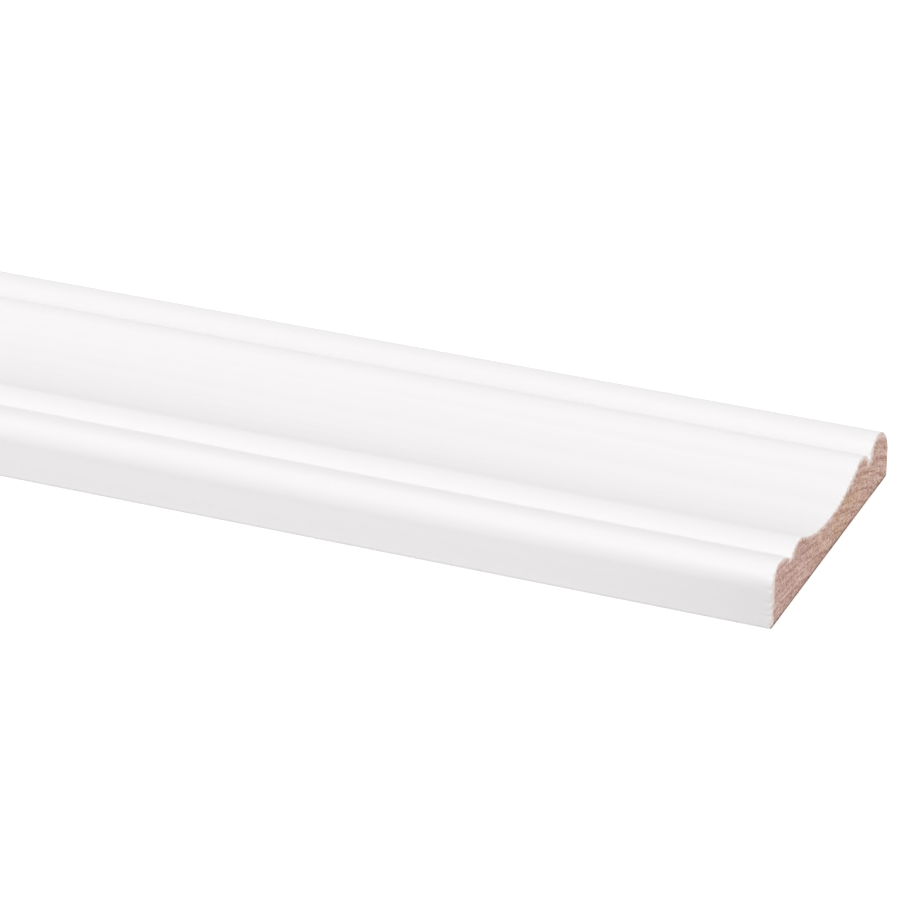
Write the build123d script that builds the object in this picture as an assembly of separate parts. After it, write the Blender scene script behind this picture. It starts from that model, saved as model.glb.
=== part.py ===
from build123d import *
import os
from math import acos, atan2, degrees, radians, sin

# A pine decorative moulding: one straight length of timber, planed to a moulded face and sawn square
# at both ends. Across the face, from the front edge to the back edge, the members are a nosing, a quirk
# (a narrow groove), a rounded shoulder, a wide shallow cove, a second shoulder, a second quirk and a bead.
# The piece lies on its flat back with the face up: X runs along the length, +Y from the front edge to the
# back edge, +Z up through the thickness. The origin is under the middle of the length and of the width.

# Driving dimensions, in millimetres. Depths on the face are measured down from the full thickness.
LENGTH = 2400.0             # the stock length
WIDTH = 70.0                # front edge to back edge, over the flat back
THICKNESS = 12.0            # flat back to the crowns of the nosing and the bead
NOSING_OUTER_RADIUS = 4.3   # the side of the nosing that rounds over to the front edge
NOSING_INNER_RADIUS = 10.0  # the side of the nosing that falls into its quirk
FRONT_QUIRK_DEPTH = 2.2     # the groove behind the nosing, below the full thickness
BACK_QUIRK_DEPTH = 3.0      # the groove in front of the bead, below the full thickness
QUIRK_WIDTH = 0.8           # the flat floor that the cutter's tip leaves in each groove
SHOULDER_RADIUS = 5.7       # the rounded rims on both sides of the cove
SHOULDER_DROP = 0.5         # crowns of the shoulders, below the full thickness
COVE_DEPTH = 4.2            # lowest line of the cove, below the crowns of the shoulders
BEAD_INNER_RADIUS = 5.2     # the side of the bead that falls into its quirk
BEAD_OUTER_RADIUS = 6.8     # the side of the bead that rounds over to the back edge
ARRIS_RADIUS = 0.4          # the two eased corners of the flat back

CROWN = 90                  # the angle at which a rounded member reaches its highest line, in degrees


def fall_angle(drop, radius):
    """How far an arc turns from its crown while it falls by a drop, in degrees."""
    return degrees(acos(1 - drop / radius))


def moulded_section():
    """The closed outline of the timber, with u across from the front edge and z up from the flat back."""
    # The nosing rolls over from the front edge and falls into the front quirk on a larger radius.
    nosing_crown = NOSING_OUTER_RADIUS
    nosing_fall = fall_angle(FRONT_QUIRK_DEPTH, NOSING_INNER_RADIUS)
    nosing_outer = CenterArc(
        (nosing_crown, THICKNESS - NOSING_OUTER_RADIUS), NOSING_OUTER_RADIUS, 180, -90
    )
    nosing_inner = CenterArc(
        (nosing_crown, THICKNESS - NOSING_INNER_RADIUS), NOSING_INNER_RADIUS, CROWN, -nosing_fall
    )

    # The bead rises out of the back quirk and rounds over to the back edge on a larger radius.
    bead_crown = WIDTH - BEAD_OUTER_RADIUS
    bead_fall = fall_angle(BACK_QUIRK_DEPTH, BEAD_INNER_RADIUS)
    bead_inner = CenterArc(
        (bead_crown, THICKNESS - BEAD_INNER_RADIUS), BEAD_INNER_RADIUS, CROWN + bead_fall, -bead_fall
    )
    bead_outer = CenterArc(
        (bead_crown, THICKNESS - BEAD_OUTER_RADIUS), BEAD_OUTER_RADIUS, CROWN, -90
    )

    # Each shoulder climbs out of its quirk. The two stand at equal distances from the middle of the cove.
    shoulder_height = THICKNESS - SHOULDER_DROP - SHOULDER_RADIUS
    front_fall = fall_angle(FRONT_QUIRK_DEPTH - SHOULDER_DROP, SHOULDER_RADIUS)
    back_fall = fall_angle(BACK_QUIRK_DEPTH - SHOULDER_DROP, SHOULDER_RADIUS)
    front_shoulder = (nosing_inner @ 1).X + QUIRK_WIDTH + SHOULDER_RADIUS * sin(radians(front_fall))
    back_shoulder = (bead_inner @ 0).X - QUIRK_WIDTH - SHOULDER_RADIUS * sin(radians(back_fall))

    # The cove is the circle that touches both shoulders from above and dips to its depth between them.
    half_span = (back_shoulder - front_shoulder) / 2
    floor_rise = SHOULDER_RADIUS - COVE_DEPTH
    cove_radius = (half_span**2 + floor_rise**2 - SHOULDER_RADIUS**2) / (2 * COVE_DEPTH)
    cove_centre = (front_shoulder + half_span, shoulder_height + floor_rise + cove_radius)
    touch = degrees(atan2(cove_centre[1] - shoulder_height, half_span))
    shoulder_in = CenterArc(
        (front_shoulder, shoulder_height), SHOULDER_RADIUS, CROWN + front_fall, touch - CROWN - front_fall
    )
    cove = CenterArc(cove_centre, cove_radius, touch + 180, 180 - 2 * touch)
    shoulder_out = CenterArc(
        (back_shoulder, shoulder_height), SHOULDER_RADIUS, 180 - touch, touch - CROWN - back_fall
    )

    # The flat back runs between its two eased corners.
    back_corner = CenterArc((WIDTH - ARRIS_RADIUS, ARRIS_RADIUS), ARRIS_RADIUS, 0, -90)
    front_corner = CenterArc((ARRIS_RADIUS, ARRIS_RADIUS), ARRIS_RADIUS, 270, -90)

    return [
        nosing_outer,
        nosing_inner,
        Line(nosing_inner @ 1, shoulder_in @ 0),
        shoulder_in,
        cove,
        shoulder_out,
        Line(shoulder_out @ 1, bead_inner @ 0),
        bead_inner,
        bead_outer,
        Line(bead_outer @ 1, back_corner @ 0),
        back_corner,
        Line(back_corner @ 1, front_corner @ 0),
        front_corner,
        Line(front_corner @ 1, nosing_outer @ 0),
    ]


def moulding():
    """The section carried along the length, half of it to each side of the middle."""
    face = make_face(moulded_section())
    section = Plane((0, -WIDTH / 2, 0), x_dir=(0, 1, 0), z_dir=(1, 0, 0)) * face
    return extrude(section, amount=LENGTH / 2, both=True)


os.makedirs("parts", exist_ok=True)
timber = moulding()
timber.label = "moulding"
export_step(timber, "parts/moulding.step")
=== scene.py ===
from math import acos, atan2, cos, pi, radians, sin, sqrt

import bpy
import numpy as np
from mathutils import Matrix, Vector


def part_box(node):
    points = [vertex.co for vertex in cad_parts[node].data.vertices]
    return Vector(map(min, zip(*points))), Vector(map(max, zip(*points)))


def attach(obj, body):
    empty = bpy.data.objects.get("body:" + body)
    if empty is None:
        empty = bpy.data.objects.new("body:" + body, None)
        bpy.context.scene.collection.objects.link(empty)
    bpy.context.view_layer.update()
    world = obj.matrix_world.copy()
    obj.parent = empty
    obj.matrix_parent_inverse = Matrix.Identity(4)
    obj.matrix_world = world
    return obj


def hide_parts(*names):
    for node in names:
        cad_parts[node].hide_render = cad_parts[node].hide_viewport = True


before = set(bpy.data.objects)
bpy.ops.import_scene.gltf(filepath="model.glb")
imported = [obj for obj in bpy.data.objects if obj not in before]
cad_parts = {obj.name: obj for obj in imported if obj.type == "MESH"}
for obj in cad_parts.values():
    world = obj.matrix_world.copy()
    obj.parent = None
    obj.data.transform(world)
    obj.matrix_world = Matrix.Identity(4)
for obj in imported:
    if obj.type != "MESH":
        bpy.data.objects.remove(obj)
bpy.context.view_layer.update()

# A length of pine moulding, sprayed white on its face and edges, bare on its sawn ends and its flat back.
# Lengths are in metres, and MM turns a size in millimetres into them.
MM = 0.001

# The section, as the solid has it
LOW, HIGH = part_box("moulding")
LENGTH = HIGH.x - LOW.x
WIDTH = HIGH.y - LOW.y
THICKNESS = HIGH.z - LOW.z
NOSING_OUTER_RADIUS = 4.3 * MM
NOSING_INNER_RADIUS = 10.0 * MM
FRONT_QUIRK_DEPTH = 2.2 * MM
BACK_QUIRK_DEPTH = 3.0 * MM
QUIRK_WIDTH = 0.8 * MM
SHOULDER_RADIUS = 5.7 * MM
SHOULDER_DROP = 0.5 * MM
COVE_DEPTH = 4.2 * MM
BEAD_INNER_RADIUS = 5.2 * MM
BEAD_OUTER_RADIUS = 6.8 * MM
ARRIS_RADIUS = 0.4 * MM

# Angles on the section's circles: at the highest line, towards the front edge, at the lowest line,
# towards the back edge, and half of an eased corner
CROWN, FRONT, FOOT, BACK = 0.5 * pi, pi, 1.5 * pi, 2 * pi
HALF_CORNER = 0.25 * pi

# How finely the surface is drawn: the spacing of points on the face, the fewest steps in an arc, the rows
# up the edges, the strips of the length, the steps in each strip, how much closer the steps stand near
# the ends, and the angle from which an edge is sharp
FACE_SPACING = 0.34 * MM
FEWEST_STEPS = 2
EDGE_ROWS = 28
STRIPS = 4
STRIP_SEGMENTS = 28
STATION_CROWDING = 2.5
SHARP_ANGLE = radians(38)

# What the saw left at both ends: a worn arris, chips along it, and a face that isn't quite flat, held to a
# limit. The random fields behind them are sums of waves, whose wave numbers spread about the one that the
# size gives. Each field has a seed for the far end and one for the near end.
ARRIS_WEAR = 0.10 * MM
CHIP_DEPTH = 0.15 * MM
CHIP_SIZE = 1.5 * MM
CHIP_REACH = 0.8 * MM
CHIP_SEEDS = (3, 4)
SAW_DEPTH = 0.05 * MM
SAW_SIZE = 1.3 * MM
SAW_LIMIT = 1.5
SAW_SEEDS = (5, 6)
WAVES = 48
WAVE_NUMBERS = (0.6, 1.7)

# The paint that the saw dragged over the end, on its way from the front edge to the back edge: its reach
# from an outline that looks straight up, what it gains past the middle and over what run, and how much
# more it is where the outline looks to the front, or less to the back
DRAG_LEVEL = 0.4 * MM
DRAG_GAIN = 0.5 * MM
DRAG_RUN = 12.0 * MM
DRAG_TURN = 1.3 * MM

# Shares of the bake map: the gap round each piece of it and the height of a strip of the length
MAP_MARGIN = 0.004
MAP_STRIP = 0.2

# The finishes, in the order of the mesh's slots
PAINT_SLOT, END_SLOT, BACK_SLOT = range(3)

# How much fine detail a noise has, the range that most of its values lie in, and their middle in each
# direction
LITTLE_DETAIL, SOME_DETAIL, MUCH_DETAIL = 1.0, 2.0, 3.0
NOISE_LOW, NOISE_HIGH = 0.3, 0.7
NOISE_MIDDLE = (0.5, 0.5, 0.5)

# Where the tree's centre lay, across and up from the middle of the flat back, what keeps only the two
# directions across the trunk, the outer radius of one of its rings, how far apart they are, how unequal
# the years were and how fast that changed, how far and how slowly the rings wander, and when in its year
# the late wood starts, is full and begins to end
PITH = (0.0, -43.0 * MM, -160.0 * MM)
ACROSS_TRUNK = (0.0, 1.0, 1.0)
RING_RADIUS = 179.45 * MM
RING_SPACING = 3.05 * MM
YEAR_LUCK = 0.4
LUCK_PACE = 0.45
RING_WANDER = 1.2 * MM
WANDER_SIZE = (330.0 * MM, 33.0 * MM, 33.0 * MM)
LATE_START, LATE_FULL, LATE_END = 0.6, 0.9, 0.94

# The paint film: its roughness and how much that varies, the grain under it, its orange peel, dust nibs
# and the share of a nib that is its top, and slow changes of tone
PAINT_ROUGHNESS = 0.5
ROUGHNESS_SPREAD = 0.05
GRAIN_SIZE = (70.0 * MM, 0.9 * MM, 0.9 * MM)
GRAIN_HEIGHT = 0.006 * MM
PEEL_SIZE = 1.6 * MM
PEEL_HEIGHT = 0.004 * MM
NIB_SPACING = 12.0 * MM
NIB_RADIUS = 0.4 * MM
NIB_TOP = 0.4
NIB_HEIGHT = 0.05 * MM
STREAK_SIZE = (260.0 * MM, 3.5 * MM, 3.5 * MM)
PAINT_DULL, PAINT_BRIGHT = "#EDEBEC", "#F0EEEF"
# The lighter white of the nibs' tops is a painted highlight
NIB_HIGHLIGHT_WHITE = "#FAF9F9"

# Painted shade near the ends: how far from the ends and how deep into the edges of the width the paint is
# painted greyer
END_SHADE_REACH = 23.0 * MM
END_SHADE_DEPTH = 1.5 * MM
END_SHADE_GREY = "#E6E3E4"

# How far from a cut the paint chips, the size of the chips, and what is taken off their noise where the
# paint is gone and where it is whole
CHIPPED_REACH = 0.7 * MM
CHIPPED_GRIT = 0.7 * MM
CHIPPED_GONE, CHIPPED_WHOLE = 0.4, 0.2
CHIPPED_WOOD = "#DCC3B8"

# The sawn end's torn fibres and thin lines, each sized along the trunk, along the rings and across them,
# the range of the two together that goes from dark to light, and how much a year's first wood is lighter
# and its late wood darker. Single fibres are too fine to show, so the tufts that the saw tears are drawn.
FIBRE_SIZE = (0.9 * MM, 0.95 * MM, 0.48 * MM)
FIBRE_DETAIL = 4.0
FIBRE_COARSENESS = 0.65
FIBRE_HEIGHT = 0.12 * MM
LINE_SIZE = (4.0 * MM, 12.0 * MM, 0.45 * MM)
LINE_SHARE = 0.32
TORN_LOW, TORN_HIGH = 0.39, 0.61
TORN_DARK, TORN_LIGHT = "#B5897B", "#EFD1C8"
EARLY_RUN = 0.4
EARLY_TONE = 0.14
LATE_TONE = 0.14

# The warmer wood of the end: its middle and how far it reaches, which is everywhere along the length, the
# size of its patches, the range of their noise and how strong they get
WARM_PLACE = (0.0, 9.0 * MM, 3.0 * MM)
EVERYWHERE = 10 * LENGTH
WARM_REACH = (EVERYWHERE, 30.0 * MM, 30.0 * MM)
PATCH_SIZE = 4.0 * MM
PATCH_LOW, PATCH_HIGH = 0.4, 0.6
PATCH_STRENGTH = 0.8
WARM_TINT = "#FFFFE0"

# The edge of the paint dragged over the end: the size and the depth of its raggedness, and its softness
FRINGE_GRIT = 0.9 * MM
FRINGE_RAGGED = 2.2 * MM
FRINGE_FADE = 1.7 * MM
FRINGE_WHITE = "#F8EFEB"

# The painted contact shadow at the foot of the end, a dark line where it meets the floor: its height, the
# share of that which is full, how slowly its strength drifts along it, the range of that noise, and the
# strengths it goes between
BASE_LINE_HEIGHT = 0.55 * MM
BASE_LINE_CORE = 0.3
BASE_LINE_DRIFT = 9.0 * MM
DRIFT_LOW, DRIFT_HIGH = 0.35, 0.65
BASE_LINE_FAINT, BASE_LINE_STRONG = 0.5, 0.95
CONTACT_SHADOW_BROWN = "#6F625C"

# The planed back: its fibres, sized along the trunk, along the rings and across them, and drawn as coarse
# as they need to show, how far the late wood stands up and shows, and the roughness of both kinds of wood
PLANED_FIBRE_SIZE = (55.0 * MM, 0.9 * MM, 0.35 * MM)
PLANED_FIBRE_HEIGHT = 0.01 * MM
LATE_HEIGHT = 0.02 * MM
LATE_SHOWN = 0.85
EARLY_ROUGHNESS, LATE_ROUGHNESS = 0.64, 0.5
EARLY_DARK, EARLY_LIGHT = "#DDC3AB", "#EBD6C0"
LATE_DARK, LATE_LIGHT = "#BC9377", "#D3AD90"

# The camera that took the photograph, for a picture of 900 by 900 pixels
IMAGE_SIDE = 900.0
IMAGE_MIDDLE = IMAGE_SIDE / 2
FOCAL_PIXELS = 4642.6
SENSOR_MM = 36.0
CAMERA_AZIMUTH = radians(22.51)
CAMERA_ELEVATION = radians(26.24)
CAMERA_ROLL = radians(0.366)
CORNER_PIXEL = (770.4, 629.8)
CORNER_DEPTH = 862.4 * MM

# The light: an even white studio, one broad soft lamp from above the front edge, and a pale floor
STUDIO_LIGHT = 0.69
LAMP_STRENGTH = 1.23
LAMP_SOFTNESS = radians(70)
LAMP_TILT = radians(31.4)
LAMP_TURN = radians(12)
FLOOR_REACH = 60.0
FLOOR_COLOUR = "#DFDFDF"
FLOOR_LIFT = 0.46
WHITE = "#FFFFFF"

# Sockets and settings of the Mix node when it mixes colours
MIX_FACTOR, MIX_FIRST, MIX_SECOND = 0, 6, 7
COLOUR_MIX = {"data_type": "RGBA", "output": 2}


def arc(centre, radius, start, stop):
    """Points on a circle: the centre plus the radius times (cosine, sine) of evenly stepped angles."""
    steps = max(FEWEST_STEPS, round(abs(stop - start) * radius / FACE_SPACING))
    angle = np.linspace(start, stop, steps + 1)
    return np.column_stack([centre[0] + radius * np.cos(angle), centre[1] + radius * np.sin(angle)])


def along(points, count):
    """Count even steps along a line of points, found by the length of the line up to each point."""
    run = np.append(0.0, np.cumsum(np.hypot(*np.diff(points, axis=0).T)))
    steps = np.linspace(0.0, run[-1], count + 1)
    return np.column_stack([np.interp(steps, run, points[:, 0]), np.interp(steps, run, points[:, 1])])


def moulded_face():
    """The face as (y, z) from the top of the front edge to the top of the back edge: arcs end to end.
    Each arc that falls into a quirk turns from its crown by the angle whose cosine is 1 less its drop
    over its radius. The cove is the circle that touches both shoulders from above and dips COVE_DEPTH
    below their crowns."""
    nose = NOSING_OUTER_RADIUS - WIDTH / 2
    nosing_fall = acos(1 - FRONT_QUIRK_DEPTH / NOSING_INNER_RADIUS)
    nosing_out = arc((nose, THICKNESS - NOSING_OUTER_RADIUS), NOSING_OUTER_RADIUS, FRONT, CROWN)
    nosing_in = arc((nose, THICKNESS - NOSING_INNER_RADIUS), NOSING_INNER_RADIUS,
                    CROWN, CROWN - nosing_fall)
    bead = WIDTH / 2 - BEAD_OUTER_RADIUS
    bead_fall = acos(1 - BACK_QUIRK_DEPTH / BEAD_INNER_RADIUS)
    bead_in = arc((bead, THICKNESS - BEAD_INNER_RADIUS), BEAD_INNER_RADIUS, CROWN + bead_fall, CROWN)
    bead_out = arc((bead, THICKNESS - BEAD_OUTER_RADIUS), BEAD_OUTER_RADIUS, CROWN, 0.0)
    height = THICKNESS - SHOULDER_DROP - SHOULDER_RADIUS
    front_fall = acos(1 - (FRONT_QUIRK_DEPTH - SHOULDER_DROP) / SHOULDER_RADIUS)
    back_fall = acos(1 - (BACK_QUIRK_DEPTH - SHOULDER_DROP) / SHOULDER_RADIUS)
    first = nosing_in[-1, 0] + QUIRK_WIDTH + SHOULDER_RADIUS * sin(front_fall)
    second = bead_in[0, 0] - QUIRK_WIDTH - SHOULDER_RADIUS * sin(back_fall)
    half = (second - first) / 2
    rise = SHOULDER_RADIUS - COVE_DEPTH
    cove_radius = (half**2 + rise**2 - SHOULDER_RADIUS**2) / (2 * COVE_DEPTH)
    cove_height = height + rise + cove_radius
    touch = atan2(cove_height - height, half)
    shoulder_in = arc((first, height), SHOULDER_RADIUS, CROWN + front_fall, touch)
    cove = arc((first + half, cove_height), cove_radius, touch + pi, 2 * pi - touch)
    shoulder_out = arc((second, height), SHOULDER_RADIUS, pi - touch, CROWN - back_fall)
    members = nosing_out, nosing_in[1:], shoulder_in, cove[1:-1], shoulder_out, bead_in, bead_out[1:]
    return np.vstack(members)


def section_sides():
    """The four sides of the section as (y, z): the flat back, the back edge, the face and the front edge.
    Each eased corner is shared half and half between the two sides that meet there."""
    front_centre = (ARRIS_RADIUS - WIDTH / 2, ARRIS_RADIUS)
    back_centre = (WIDTH / 2 - ARRIS_RADIUS, ARRIS_RADIUS)
    face = moulded_face()
    flat = np.vstack([arc(front_centre, ARRIS_RADIUS, FOOT - HALF_CORNER, FOOT),
                      arc(back_centre, ARRIS_RADIUS, FOOT, FOOT + HALF_CORNER)])
    back_edge = np.vstack([arc(back_centre, ARRIS_RADIUS, FOOT + HALF_CORNER, BACK), face[-1:]])
    front_edge = np.vstack([arc(front_centre, ARRIS_RADIUS, FOOT - HALF_CORNER, FRONT), face[:1]])
    return along(flat, len(face) - 1), along(back_edge, EDGE_ROWS), face, along(front_edge, EDGE_ROWS)


def section_outline():
    """The closed outline of the section as (y, z), its outward direction at each point, and the number of
    steps along the flat back. The sides lie end to end: the flat back, the back edge, the face and the
    front edge. Outward is the step from the point before to the point after, made one long and turned a
    quarter."""
    flat, back_edge, face, front_edge = section_sides()
    outline = np.vstack([flat[:-1], back_edge[:-1], face[:0:-1], front_edge[:0:-1]])
    tangent = np.roll(outline, -1, axis=0) - np.roll(outline, 1, axis=0)
    tangent /= np.linalg.norm(tangent, axis=1, keepdims=True)
    outward = np.column_stack([tangent[:, 1], -tangent[:, 0]])
    return outline, outward, len(flat) - 1


def uneven(points, size, seed):
    """A smooth random field of unit spread: a sum of cosines of random direction and phase, with
    wavelengths near size."""
    rng = np.random.default_rng(seed)
    angle = rng.uniform(0.0, 2 * pi, WAVES)
    number = 2 * pi / size * rng.uniform(*WAVE_NUMBERS, WAVES)
    phase = rng.uniform(0.0, 2 * pi, WAVES)
    waves = np.stack([np.cos(angle), np.sin(angle)]) * number
    return np.cos(points @ waves + phase).sum(-1) * sqrt(2 / WAVES)


def carried_outline(outline, outward, columns):
    """The outline at each station of the length, with x = half the length less an inset that grows with a
    power of the step from the end. Near the ends it draws in and falls back by the depth of the chips,
    which dies away with the inset. That depth is the wear plus a random field where it is positive. It
    leaves out the flat back, and it is the less the more the outline looks to the back edge."""
    step = np.linspace(-1.0, 1.0, STRIPS * STRIP_SEGMENTS + 1)
    side = np.where(step < 0, -1.0, 1.0)
    inset = LENGTH / 2 * (1 - np.abs(step)) ** STATION_CROWDING
    fields = [uneven(outline, CHIP_SIZE, seed) for seed in CHIP_SEEDS]
    depth = ARRIS_WEAR + CHIP_DEPTH * np.clip(fields, 0, None)
    depth = depth * (np.arange(len(outline)) > columns) * np.clip(1 - outward[:, 0], 0, 1)
    chip = np.where(side[:, None] < 0, depth[0], depth[1]) * np.exp(-inset / CHIP_REACH)[:, None]
    ring = np.empty((len(step), len(outline), 3))
    ring[..., 0] = side[:, None] * (LENGTH / 2 - inset[:, None] - chip)
    ring[..., 1:] = outline - outward * chip[..., None]
    return ring


def end_patch(flat, back_edge, face, front_edge):
    """The sawn end as a grid of (y, z): the flat back blended up to the face, plus the front edge blended
    across to the back edge, less the blend of the four corners."""
    across = np.linspace(0.0, 1.0, len(flat))[None, :, None]
    up = np.linspace(0.0, 1.0, len(front_edge))[:, None, None]
    upright = (1 - up) * flat[None] + up * face[None]
    level = (1 - across) * front_edge[:, None] + across * back_edge[:, None]
    corners = (1 - up) * ((1 - across) * flat[0] + across * flat[-1])
    corners = corners + up * ((1 - across) * face[0] + across * face[-1])
    return upright + level - corners


def sawn_end(loop, rim, columns, start, side, seed):
    """The inner points of one end, numbered from start, and the grid of the end's vertex numbers, which
    takes the rim's own numbers at its border. The points are those of the end patch, set back from the
    square cut by a random field that is held to a limit both ways and raised by that limit."""
    count = len(loop)
    bottom = np.arange(columns + 1)
    right = np.arange(columns, columns + EDGE_ROWS + 1)
    top = np.arange(columns + EDGE_ROWS, 2 * columns + EDGE_ROWS + 1)[::-1]
    left = (np.arange(2 * columns + EDGE_ROWS, count + 1) % count)[::-1]
    patch = end_patch(loop[bottom], loop[right], loop[top], loop[left])
    inner = patch[1:-1, 1:-1].reshape(-1, 2)
    saw = SAW_DEPTH * (SAW_LIMIT + np.clip(uneven(inner, SAW_SIZE, seed), -SAW_LIMIT, SAW_LIMIT))
    points = np.column_stack([side * (LENGTH / 2 - saw), inner])
    grid = np.empty((EDGE_ROWS + 1, columns + 1), int)
    grid[1:-1, 1:-1] = start + np.arange(len(inner)).reshape(EDGE_ROWS - 1, columns - 1)
    grid[0], grid[-1] = rim[bottom], rim[top]
    grid[:, 0], grid[:, -1] = rim[left], rim[right]
    return points, grid


def distance_from_paint(points, outline, outward, columns):
    """How far each point of an end lies from the dragged paint: the least, over the painted outline, of
    the distance to it less the reach of the paint dragged from there. The reach is a level, plus a gain
    that climbs past the middle of the width, less a multiple of the cube of the outline's outward
    direction to the back."""
    painted = np.arange(columns, len(outline) + 1) % len(outline)
    gain = DRAG_GAIN * np.clip(outline[painted, 0] / DRAG_RUN, 0, 1)
    reach = DRAG_LEVEL + gain - DRAG_TURN * outward[painted, 0] ** 3
    return (np.linalg.norm(points[:, None] - outline[painted], axis=-1) - reach).min(1)


def bake_layout(outline, x, vertices, quads):
    """Where each face corner lies on the bake map. The length is cut into strips that lie one above
    another: u runs along a strip, and v round the outline by the length of the line up to each point. The
    two ends lie above the strips, with u across and v up."""
    run = np.append(0.0, np.cumsum(np.hypot(*(np.roll(outline, -1, axis=0) - outline).T)))
    run /= run[-1]
    strip = np.arange(len(x) - 1) // STRIP_SEGMENTS
    first, last = x[strip * STRIP_SEGMENTS], x[(strip + 1) * STRIP_SEGMENTS]
    u = np.stack([(x[:-1] - first) / (last - first), (x[1:] - first) / (last - first)])
    u = MAP_MARGIN + (1 - 2 * MAP_MARGIN) * u
    v = MAP_MARGIN + strip[:, None] * MAP_STRIP + (MAP_STRIP - 2 * MAP_MARGIN) * run
    sides = np.empty((len(x) - 1, len(outline), 4, 2))
    sides[:, :, :2, 0] = u[0][:, None, None]
    sides[:, :, 2:, 0] = u[1][:, None, None]
    sides[:, :, (0, 3), 1] = v[:, :-1, None]
    sides[:, :, (1, 2), 1] = v[:, 1:, None]
    places = [sides.reshape(-1, 2)]
    end_height = (1 - STRIPS * MAP_STRIP) / 2
    for number, faces in enumerate(quads[1:]):
        corner = vertices[faces.ravel()]
        across = MAP_MARGIN + (1 - 2 * MAP_MARGIN) * (corner[:, 1] / WIDTH + 0.5)
        up = (end_height - 2 * MAP_MARGIN) * corner[:, 2] / THICKNESS
        places.append(np.column_stack([across, 1 - (number + 1) * end_height + MAP_MARGIN + up]))
    return np.vstack(places)


def moulding_mesh():
    """The timber: the outline carried along the length, with a sawn end closing it at each side. Its
    vertices, its four-sided faces, their finishes, their corners on the bake map, and the distance of
    each vertex of an end from the dragged paint. The flat back is bare between its eased corners."""
    outline, outward, columns = section_outline()
    ring = carried_outline(outline, outward, columns)
    index = np.arange(ring[..., 0].size).reshape(ring.shape[:2])
    start = index.size
    far_points, far_grid = sawn_end(ring[0, :, 1:], index[0], columns, start, -1.0, SAW_SEEDS[0])
    start += len(far_points)
    near_points, near_grid = sawn_end(ring[-1, :, 1:], index[-1], columns, start, 1.0, SAW_SEEDS[1])
    vertices = np.vstack([ring.reshape(-1, 3), far_points, near_points])

    ends = far_grid, near_grid
    sawn = np.unique(ends)
    bare_wood = np.zeros(len(vertices))
    bare_wood[sawn] = distance_from_paint(vertices[sawn, 1:], outline, outward, columns)

    after = np.roll(index, -1, axis=1)
    sides = np.stack([index[:-1], after[:-1], after[1:], index[1:]], -1)
    far, near = [np.stack([g[:-1, :-1], g[:-1, 1:], g[1:, 1:], g[1:, :-1]], -1) for g in ends]
    quads = [sides.reshape(-1, 4), far.reshape(-1, 4)[:, ::-1], near.reshape(-1, 4)]

    middle = (outline[:, 0] + np.roll(outline[:, 0], -1)) / 2
    bare = (np.arange(len(outline)) < columns) & (np.abs(middle) < WIDTH / 2 - ARRIS_RADIUS)
    around = np.where(bare, BACK_SLOT, PAINT_SLOT)
    slots = [np.tile(around, len(ring) - 1), np.full(len(quads[1]) + len(quads[2]), END_SLOT)]
    places = bake_layout(outline, ring[:, 0, 0], vertices, quads)
    return vertices, np.vstack(quads), np.concatenate(slots), places, bare_wood


def moulding_piece(materials):
    """Puts the timber's arrays into a mesh, with its bake map, its distance from the dragged paint and its
    finishes."""
    vertices, quads, slots, places, bare_wood = moulding_mesh()
    mesh = bpy.data.meshes.new("moulding_timber")
    mesh.vertices.add(len(vertices))
    mesh.vertices.foreach_set("co", vertices.astype(np.float32).ravel())
    mesh.loops.add(quads.size)
    mesh.loops.foreach_set("vertex_index", quads.astype(np.int32).ravel())
    mesh.polygons.add(len(quads))
    mesh.polygons.foreach_set("loop_start", np.arange(0, quads.size, 4, dtype=np.int32))
    mesh.polygons.foreach_set("material_index", slots.astype(np.int32))
    mesh.update(calc_edges=True)
    mesh.uv_layers.new(name="OFBake").uv.foreach_set("vector", places.astype(np.float32).ravel())
    attribute = mesh.attributes.new("bare_wood", "FLOAT", "POINT")
    attribute.data.foreach_set("value", bare_wood.astype(np.float32))
    mesh.shade_smooth()
    mesh.set_sharp_from_angle(angle=SHARP_ANGLE)
    for material in materials:
        mesh.materials.append(material)
    piece = bpy.data.objects.new("moulding_timber", mesh)
    bpy.context.scene.collection.objects.link(piece)
    return piece


def linear(hex_colour):
    """An sRGB hex colour as linear red, green, blue and an alpha of 1, by the curve that defines sRGB."""
    srgb = np.array([int(hex_colour[at:at + 2], 16) for at in (1, 3, 5)]) / 255
    rgb = np.where(srgb <= 0.04045, srgb / 12.92, ((srgb + 0.055) / 1.055) ** 2.4)
    return (*rgb.tolist(), 1.0)


def node(tree, kind, inputs=None, output=0, **settings):
    """Adds a node, applies its settings, fills each input with a value or another node's output, and
    returns an output."""
    made = tree.nodes.new(kind)
    for name, value in settings.items():
        setattr(made, name, value)
    for socket, value in (inputs or {}).items():
        if isinstance(value, bpy.types.NodeSocket):
            tree.links.new(value, made.inputs[socket])
        else:
            made.inputs[socket].default_value = value
    return made.outputs[output]


def new_finish(name, roughness, ior, specular):
    """A material with one Principled shader: the material, its tree, the shader and its Object
    coordinates."""
    material = bpy.data.materials.new(name)
    material.use_nodes = True
    tree = material.node_tree
    shader = tree.nodes["Principled BSDF"]
    shader.inputs["Roughness"].default_value = roughness
    shader.inputs["IOR"].default_value = ior
    shader.inputs["Specular IOR Level"].default_value = specular
    return material, tree, shader, node(tree, "ShaderNodeTexCoord", output="Object")


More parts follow.
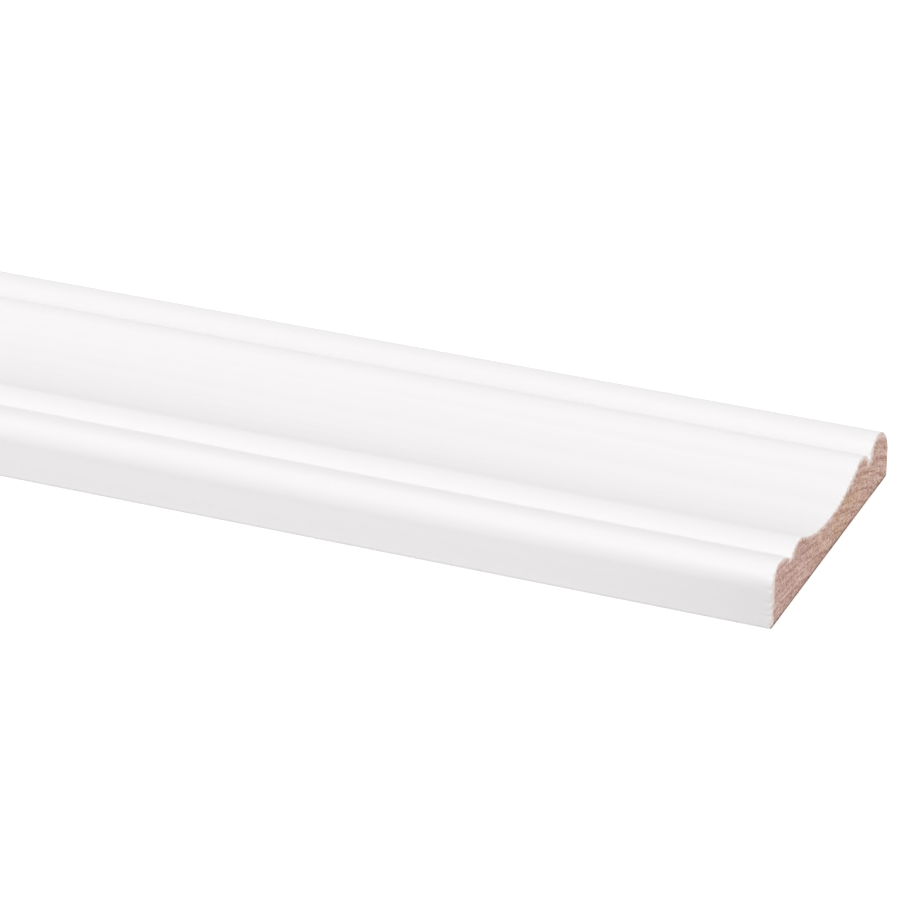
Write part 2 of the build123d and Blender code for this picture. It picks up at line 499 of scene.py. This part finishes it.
def growth_rings(tree, place):
    """Where a point lies along the trunk, along its ring and out from the pith, how far its year had run,
    from 0 to 1, and the late wood of its ring, from 0 to 1. All come from the distance to the pith and
    the angle round it, bent by a slow wander of the trunk. The year is the fraction of that distance over
    the ring spacing, counted from one ring's outer line and with unequal years. The late wood climbs
    towards the year's end and drops with it."""
    slow = node(tree, "ShaderNodeMapping", {"Vector": place, "Scale": WANDER_SIZE}, vector_type="TEXTURE")
    wander = node(tree, "ShaderNodeTexNoise",
                  {"Vector": slow, "Scale": 1.0, "Detail": SOME_DETAIL}, output="Color")
    wander = node(tree, "ShaderNodeVectorMath", {0: wander, 1: NOISE_MIDDLE}, operation="SUBTRACT")
    wander = node(tree, "ShaderNodeVectorMath", {0: wander, "Scale": RING_WANDER}, operation="SCALE")
    bent = node(tree, "ShaderNodeVectorMath", {0: place, 1: wander}, operation="ADD")
    bent = node(tree, "ShaderNodeVectorMath", {0: bent, 1: PITH}, operation="SUBTRACT")
    across = node(tree, "ShaderNodeVectorMath", {0: bent, 1: ACROSS_TRUNK}, operation="MULTIPLY")
    radius = node(tree, "ShaderNodeVectorMath", {0: across}, output="Value", operation="LENGTH")
    x = node(tree, "ShaderNodeSeparateXYZ", {"Vector": bent}, output="X")
    y = node(tree, "ShaderNodeSeparateXYZ", {"Vector": bent}, output="Y")
    z = node(tree, "ShaderNodeSeparateXYZ", {"Vector": bent}, output="Z")
    turn = node(tree, "ShaderNodeMath", {0: y, 1: z}, operation="ARCTAN2")
    run = node(tree, "ShaderNodeMath", {0: turn, 1: RING_RADIUS}, operation="MULTIPLY")
    lie = node(tree, "ShaderNodeCombineXYZ", {"X": x, "Y": run, "Z": radius})
    years = node(tree, "ShaderNodeMath", {0: radius, 1: RING_RADIUS}, operation="SUBTRACT")
    years = node(tree, "ShaderNodeMath", {0: years, 1: 1 / RING_SPACING}, operation="MULTIPLY")
    luck = node(tree, "ShaderNodeTexNoise",
                {"W": years, "Scale": LUCK_PACE, "Detail": LITTLE_DETAIL}, noise_dimensions="1D")
    years = node(tree, "ShaderNodeMath", {0: luck, 1: YEAR_LUCK, 2: years}, operation="MULTIPLY_ADD")
    season = node(tree, "ShaderNodeMath", {0: years}, operation="FRACT")
    climb = node(tree, "ShaderNodeMapRange",
                 {"Value": season, "From Min": LATE_START, "From Max": LATE_FULL},
                 interpolation_type="SMOOTHSTEP")
    drop = node(tree, "ShaderNodeMapRange",
                {"Value": season, "From Min": LATE_END, "From Max": 1.0, "To Min": 1.0, "To Max": 0.0},
                interpolation_type="SMOOTHSTEP")
    late = node(tree, "ShaderNodeMath", {0: climb, 1: drop}, operation="MULTIPLY")
    return lie, season, late


def dust_nibs(tree, place):
    """Dust under the paint: one nib at a random place in each cell, 1 on its top and falling to 0 at its
    rim. The paint raises the nibs by it and paints a highlight on their tops with it."""
    gap = node(tree, "ShaderNodeTexVoronoi", {"Vector": place, "Scale": 1 / NIB_SPACING}, output="Distance")
    rim = NIB_RADIUS / NIB_SPACING
    return node(tree, "ShaderNodeMapRange",
                {"Value": gap, "From Min": NIB_TOP * rim, "From Max": rim, "To Min": 1.0, "To Max": 0.0},
                interpolation_type="SMOOTHSTEP")


def painted_end_shade(tree, place, inset):
    """Painted shade near the ends: a climb over the outermost part of the width, times the
    exponential of minus the inset from the end over its reach."""
    y = node(tree, "ShaderNodeSeparateXYZ", {"Vector": place}, output="Y")
    y = node(tree, "ShaderNodeMath", {0: y}, operation="ABSOLUTE")
    edge = node(tree, "ShaderNodeMapRange",
                {"Value": y, "From Min": WIDTH / 2 - END_SHADE_DEPTH, "From Max": WIDTH / 2},
                interpolation_type="SMOOTHSTEP")
    near = node(tree, "ShaderNodeMath", {0: inset, 1: -1 / END_SHADE_REACH}, operation="MULTIPLY")
    near = node(tree, "ShaderNodeMath", {0: near}, operation="EXPONENT")
    return node(tree, "ShaderNodeMath", {0: edge, 1: near}, operation="MULTIPLY")


def chipped_rim(tree, place, inset):
    """Where the paint has broken away at a cut: gone where the inset from the end is below the reach
    times what the noise has over one share, whole where it is above the reach times what the noise has
    over another."""
    grit = node(tree, "ShaderNodeTexNoise",
                {"Vector": place, "Scale": 1 / CHIPPED_GRIT, "Detail": SOME_DETAIL})
    broken = node(tree, "ShaderNodeMath", {0: grit, 1: -CHIPPED_REACH, 2: inset}, operation="MULTIPLY_ADD")
    return node(tree, "ShaderNodeMapRange",
                {"Value": broken, "From Min": -CHIPPED_GONE * CHIPPED_REACH,
                 "From Max": -CHIPPED_WHOLE * CHIPPED_REACH, "To Min": 1.0, "To Max": 0.0})


def sprayed_white_paint():
    """White acrylic primer sprayed on planed pine: eggshell, with a faint orange peel, the grain just
    showing and a few nibs, whose tops get a painted highlight. Near the ends its edges are painted greyer
    as painted shade, and at a cut it has broken away in places down to the wood."""
    material, tree, shader, place = new_finish("sprayed_white_paint", PAINT_ROUGHNESS,
                                               ior=1.47, specular=0.4)
    drawn = node(tree, "ShaderNodeMapping", {"Vector": place, "Scale": STREAK_SIZE}, vector_type="TEXTURE")
    streak = node(tree, "ShaderNodeTexNoise", {"Vector": drawn, "Scale": 1.0, "Detail": SOME_DETAIL})
    streak = node(tree, "ShaderNodeMapRange",
                  {"Value": streak, "From Min": NOISE_LOW, "From Max": NOISE_HIGH})
    colour = node(tree, "ShaderNodeMix",
                  {MIX_FACTOR: streak, MIX_FIRST: linear(PAINT_DULL), MIX_SECOND: linear(PAINT_BRIGHT)},
                  **COLOUR_MIX)
    nib = dust_nibs(tree, place)
    x = node(tree, "ShaderNodeSeparateXYZ", {"Vector": place}, output="X")
    x = node(tree, "ShaderNodeMath", {0: x}, operation="ABSOLUTE")
    inset = node(tree, "ShaderNodeMath", {0: LENGTH / 2, 1: x}, operation="SUBTRACT")
    end_shade = painted_end_shade(tree, place, inset)
    broken = chipped_rim(tree, place, inset)
    # Over the streaked paint: a painted highlight on the nibs' tops, painted shade at the edges near the
    # ends, and the bare wood of the chips
    for cover, tone in ((nib, NIB_HIGHLIGHT_WHITE), (end_shade, END_SHADE_GREY), (broken, CHIPPED_WOOD)):
        colour = node(tree, "ShaderNodeMix",
                      {MIX_FACTOR: cover, MIX_FIRST: colour, MIX_SECOND: linear(tone)}, **COLOUR_MIX)
    tree.links.new(colour, shader.inputs["Base Color"])

    peel = node(tree, "ShaderNodeTexNoise",
                {"Vector": place, "Scale": 1 / PEEL_SIZE, "Detail": LITTLE_DETAIL})
    shine = node(tree, "ShaderNodeMapRange",
                 {"Value": peel, "From Min": NOISE_LOW, "From Max": NOISE_HIGH,
                  "To Min": PAINT_ROUGHNESS - ROUGHNESS_SPREAD,
                  "To Max": PAINT_ROUGHNESS + ROUGHNESS_SPREAD})
    tree.links.new(shine, shader.inputs["Roughness"])
    under = node(tree, "ShaderNodeMapping", {"Vector": place, "Scale": GRAIN_SIZE}, vector_type="TEXTURE")
    grain = node(tree, "ShaderNodeTexNoise", {"Vector": under, "Scale": 1.0, "Detail": SOME_DETAIL})
    normal = node(tree, "ShaderNodeBump", {"Height": grain, "Distance": GRAIN_HEIGHT})
    normal = node(tree, "ShaderNodeBump", {"Height": peel, "Distance": PEEL_HEIGHT, "Normal": normal})
    normal = node(tree, "ShaderNodeBump", {"Height": nib, "Distance": NIB_HEIGHT, "Normal": normal})
    tree.links.new(normal, shader.inputs["Normal"])
    return material


def torn_fibres(tree, place):
    """The relief of the torn fibres, and their tone from dark to light: short tufts mixed with thin
    lines, both lying along the growth rings, plus the lighter first wood of each year, less its darker
    late wood."""
    lie, season, late = growth_rings(tree, place)
    short = node(tree, "ShaderNodeMapping", {"Vector": lie, "Scale": FIBRE_SIZE}, vector_type="TEXTURE")
    fibre = node(tree, "ShaderNodeTexNoise",
                 {"Vector": short, "Scale": 1.0, "Detail": FIBRE_DETAIL, "Roughness": FIBRE_COARSENESS})
    long = node(tree, "ShaderNodeMapping", {"Vector": lie, "Scale": LINE_SIZE}, vector_type="TEXTURE")
    line = node(tree, "ShaderNodeTexNoise", {"Vector": long, "Scale": 1.0, "Detail": LITTLE_DETAIL})
    torn = node(tree, "ShaderNodeMix", {"Factor": LINE_SHARE, "A": fibre, "B": line})
    torn = node(tree, "ShaderNodeMapRange", {"Value": torn, "From Min": TORN_LOW, "From Max": TORN_HIGH})
    early = node(tree, "ShaderNodeMapRange",
                 {"Value": season, "From Max": EARLY_RUN, "To Min": EARLY_TONE, "To Max": 0.0})
    torn = node(tree, "ShaderNodeMath", {0: torn, 1: early}, operation="ADD")
    torn = node(tree, "ShaderNodeMath", {0: late, 1: -LATE_TONE, 2: torn}, operation="MULTIPLY_ADD")
    return fibre, torn


def warm_patches(tree, place):
    """The warmer wood: a round fall from 1 at its middle to 0 at its reach, broken up by a noise."""
    warm = node(tree, "ShaderNodeMapping",
                {"Vector": place, "Location": WARM_PLACE, "Scale": WARM_REACH}, vector_type="TEXTURE")
    warm = node(tree, "ShaderNodeTexGradient", {"Vector": warm}, output="Fac", gradient_type="SPHERICAL")
    patch = node(tree, "ShaderNodeTexNoise",
                 {"Vector": place, "Scale": 1 / PATCH_SIZE, "Detail": LITTLE_DETAIL})
    patch = node(tree, "ShaderNodeMapRange",
                 {"Value": patch, "From Min": PATCH_LOW, "From Max": PATCH_HIGH, "To Max": PATCH_STRENGTH})
    return node(tree, "ShaderNodeMath", {0: warm, 1: patch}, operation="MULTIPLY")


def dragged_paint(tree, place):
    """The paint over the end: a soft step of the distance from the dragged paint plus a noise about
    nought, half way down where the two cancel."""
    bare = node(tree, "ShaderNodeAttribute", output="Fac", attribute_name="bare_wood")
    grit = node(tree, "ShaderNodeTexNoise",
                {"Vector": place, "Scale": 1 / FRINGE_GRIT, "Detail": SOME_DETAIL})
    ragged = node(tree, "ShaderNodeMath", {0: grit, 1: FRINGE_RAGGED, 2: bare}, operation="MULTIPLY_ADD")
    return node(tree, "ShaderNodeMapRange",
                {"Value": ragged, "From Min": (FRINGE_RAGGED - FRINGE_FADE) / 2,
                 "From Max": (FRINGE_RAGGED + FRINGE_FADE) / 2, "To Min": 1.0, "To Max": 0.0},
                interpolation_type="SMOOTHSTEP")


def painted_contact_shadow(tree, place):
    """The painted contact shadow at the foot of the end, a dark line: a soft step of the height, times a
    strength that drifts along it."""
    height = node(tree, "ShaderNodeSeparateXYZ", {"Vector": place}, output="Z")
    contact_shadow = node(tree, "ShaderNodeMapRange",
                {"Value": height, "From Min": BASE_LINE_CORE * BASE_LINE_HEIGHT,
                 "From Max": BASE_LINE_HEIGHT, "To Min": 1.0, "To Max": 0.0},
                interpolation_type="SMOOTHSTEP")
    drift = node(tree, "ShaderNodeTexNoise",
                 {"Vector": place, "Scale": 1 / BASE_LINE_DRIFT, "Detail": LITTLE_DETAIL})
    drift = node(tree, "ShaderNodeMapRange",
                 {"Value": drift, "From Min": DRIFT_LOW, "From Max": DRIFT_HIGH,
                  "To Min": BASE_LINE_FAINT, "To Max": BASE_LINE_STRONG})
    return node(tree, "ShaderNodeMath", {0: contact_shadow, 1: drift}, operation="MULTIPLY")


def sawn_pine_end():
    """Pine sawn across the grain: matt, with light and dark torn fibres that lie along faint growth
    rings, paint dragged over the rim, and a painted contact shadow, a dark line where the end meets the
    flat back."""
    material, tree, shader, place = new_finish("sawn_pine_end", roughness=0.85, ior=1.4, specular=0.3)
    fibre, torn = torn_fibres(tree, place)
    colour = node(tree, "ShaderNodeMix",
                  {MIX_FACTOR: torn, MIX_FIRST: linear(TORN_DARK), MIX_SECOND: linear(TORN_LIGHT)},
                  **COLOUR_MIX)
    warm = warm_patches(tree, place)
    colour = node(tree, "ShaderNodeMix",
                  {MIX_FACTOR: warm, MIX_FIRST: colour, MIX_SECOND: linear(WARM_TINT)},
                  blend_type="MULTIPLY", **COLOUR_MIX)
    fringe = dragged_paint(tree, place)
    contact_shadow = painted_contact_shadow(tree, place)
    # The fringe is real dragged paint; the dark line at the foot is painted contact shadow
    for cover, tone in ((fringe, FRINGE_WHITE), (contact_shadow, CONTACT_SHADOW_BROWN)):
        colour = node(tree, "ShaderNodeMix",
                      {MIX_FACTOR: cover, MIX_FIRST: colour, MIX_SECOND: linear(tone)}, **COLOUR_MIX)
    tree.links.new(colour, shader.inputs["Base Color"])
    normal = node(tree, "ShaderNodeBump", {"Height": fibre, "Distance": FIBRE_HEIGHT})
    tree.links.new(normal, shader.inputs["Normal"])
    return material


def planed_pine_back():
    """Pine planed along the grain: pale early wood between streaks of browner late wood, both drawn
    through with fine fibres. The late wood is harder, so it shines a little more and stands a hair above
    the rest."""
    material, tree, shader, place = new_finish("planed_pine_back", EARLY_ROUGHNESS, ior=1.45, specular=0.4)
    lie, _, late = growth_rings(tree, place)
    drawn = node(tree, "ShaderNodeMapping",
                 {"Vector": lie, "Scale": PLANED_FIBRE_SIZE}, vector_type="TEXTURE")
    fibre = node(tree, "ShaderNodeTexNoise", {"Vector": drawn, "Scale": 1.0, "Detail": MUCH_DETAIL})
    tone = node(tree, "ShaderNodeMapRange", {"Value": fibre, "From Min": NOISE_LOW, "From Max": NOISE_HIGH})
    pale = node(tree, "ShaderNodeMix",
                {MIX_FACTOR: tone, MIX_FIRST: linear(EARLY_DARK), MIX_SECOND: linear(EARLY_LIGHT)},
                **COLOUR_MIX)
    brown = node(tree, "ShaderNodeMix",
                 {MIX_FACTOR: tone, MIX_FIRST: linear(LATE_DARK), MIX_SECOND: linear(LATE_LIGHT)},
                 **COLOUR_MIX)
    shown = node(tree, "ShaderNodeMath", {0: late, 1: LATE_SHOWN}, operation="MULTIPLY")
    colour = node(tree, "ShaderNodeMix",
                  {MIX_FACTOR: shown, MIX_FIRST: pale, MIX_SECOND: brown}, **COLOUR_MIX)
    tree.links.new(colour, shader.inputs["Base Color"])
    shine = node(tree, "ShaderNodeMapRange",
                 {"Value": late, "To Min": EARLY_ROUGHNESS, "To Max": LATE_ROUGHNESS})
    tree.links.new(shine, shader.inputs["Roughness"])
    normal = node(tree, "ShaderNodeBump", {"Height": fibre, "Distance": PLANED_FIBRE_HEIGHT})
    normal = node(tree, "ShaderNodeBump", {"Height": late, "Distance": LATE_HEIGHT, "Normal": normal})
    tree.links.new(normal, shader.inputs["Normal"])
    return material


def shown_rays(tree):
    """1 for the rays that look at the set itself or at its mirror image, and 0 for the rays that only bring
    light."""
    seen = node(tree, "ShaderNodeLightPath", output="Is Camera Ray")
    mirrored = node(tree, "ShaderNodeLightPath", output="Is Glossy Ray")
    through = node(tree, "ShaderNodeLightPath", output="Is Transmission Ray")
    seen = node(tree, "ShaderNodeMath", {0: seen, 1: mirrored}, operation="MAXIMUM")
    return node(tree, "ShaderNodeMath", {0: seen, 1: through}, operation="MAXIMUM")


def white_studio():
    """White all round: at full white where it is seen, and at the studio's level where it lights."""
    world = bpy.data.worlds.new("white_studio")
    world.use_nodes = True
    tree = world.node_tree
    tree.nodes.clear()
    light = node(tree, "ShaderNodeBackground", {"Color": linear(WHITE), "Strength": STUDIO_LIGHT})
    sight = node(tree, "ShaderNodeBackground", {"Color": linear(WHITE), "Strength": 1.0})
    both = node(tree, "ShaderNodeMixShader", {0: shown_rays(tree), 1: light, 2: sight})
    out = tree.nodes.new("ShaderNodeOutputWorld")
    tree.links.new(both, out.inputs["Surface"])
    bpy.context.scene.world = world


def white_floor():
    """A wide pale floor at the height of the flat back. It adds its own white where it is seen, and keeps
    the shadow."""
    material = bpy.data.materials.new("white_floor")
    material.use_nodes = True
    tree = material.node_tree
    tree.nodes.clear()
    lift = node(tree, "ShaderNodeMath", {0: shown_rays(tree), 1: FLOOR_LIFT}, operation="MULTIPLY")
    pale = node(tree, "ShaderNodeBsdfDiffuse", {"Color": linear(FLOOR_COLOUR)})
    glow = node(tree, "ShaderNodeEmission", {"Color": linear(WHITE), "Strength": lift})
    both = node(tree, "ShaderNodeAddShader", {0: pale, 1: glow})
    out = tree.nodes.new("ShaderNodeOutputMaterial")
    tree.links.new(both, out.inputs["Surface"])
    turns = (-1, -1), (1, -1), (1, 1), (-1, 1)
    corners = [(x * FLOOR_REACH, y * FLOOR_REACH, LOW.z) for x, y in turns]
    mesh = bpy.data.meshes.new("floor")
    mesh.from_pydata(corners, [], [(0, 1, 2, 3)])
    mesh.materials.append(material)
    floor = bpy.data.objects.new("floor", mesh)
    bpy.context.scene.collection.objects.link(floor)


def soft_lamp():
    """One broad soft lamp, tilted from straight above towards the front edge and turned a little to the
    near end."""
    data = bpy.data.lights.new("soft_lamp", "SUN")
    data.energy = LAMP_STRENGTH
    data.angle = LAMP_SOFTNESS
    lamp = bpy.data.objects.new("soft_lamp", data)
    towards = Vector((sin(LAMP_TILT) * sin(LAMP_TURN), -sin(LAMP_TILT) * cos(LAMP_TURN), cos(LAMP_TILT)))
    lamp.rotation_euler = (-towards).to_track_quat("-Z", "Y").to_euler()
    bpy.context.scene.collection.objects.link(lamp)


def photograph_camera():
    """The camera that puts the near front corner of the flat back at its pixel: the corner's place, less
    its depth along the view and its offset from the middle of the picture, in pixels over the focal
    length."""
    heading = Vector((-sin(CAMERA_AZIMUTH), cos(CAMERA_AZIMUTH), 0.0))
    forward = heading * cos(CAMERA_ELEVATION) - Vector((0.0, 0.0, sin(CAMERA_ELEVATION)))
    level = Vector((heading.y, -heading.x, 0.0))
    upright = heading * sin(CAMERA_ELEVATION) + Vector((0.0, 0.0, cos(CAMERA_ELEVATION)))
    right = level * cos(CAMERA_ROLL) + upright * sin(CAMERA_ROLL)
    up = upright * cos(CAMERA_ROLL) - level * sin(CAMERA_ROLL)
    across = (CORNER_PIXEL[0] - IMAGE_MIDDLE) / FOCAL_PIXELS
    down = (CORNER_PIXEL[1] - IMAGE_MIDDLE) / FOCAL_PIXELS
    corner = Vector((HIGH.x, LOW.y, LOW.z))
    eye = corner - CORNER_DEPTH * (forward + across * right - down * up)
    data = bpy.data.cameras.new("photograph_camera")
    data.sensor_width = SENSOR_MM
    data.lens = SENSOR_MM * FOCAL_PIXELS / IMAGE_SIDE
    data.clip_end = 2 * FLOOR_REACH
    camera = bpy.data.objects.new("photograph_camera", data)
    turned = Matrix((right, up, -forward)).transposed().to_4x4()
    camera.matrix_world = Matrix.Translation(eye) @ turned
    bpy.context.scene.collection.objects.link(camera)
    bpy.context.scene.camera = camera


timber = moulding_piece([sprayed_white_paint(), sawn_pine_end(), planed_pine_back()])
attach(timber, "root")
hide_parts("moulding")
white_studio()
white_floor()
soft_lamp()
photograph_camera()
bpy.context.scene.view_settings.view_transform = "Standard"
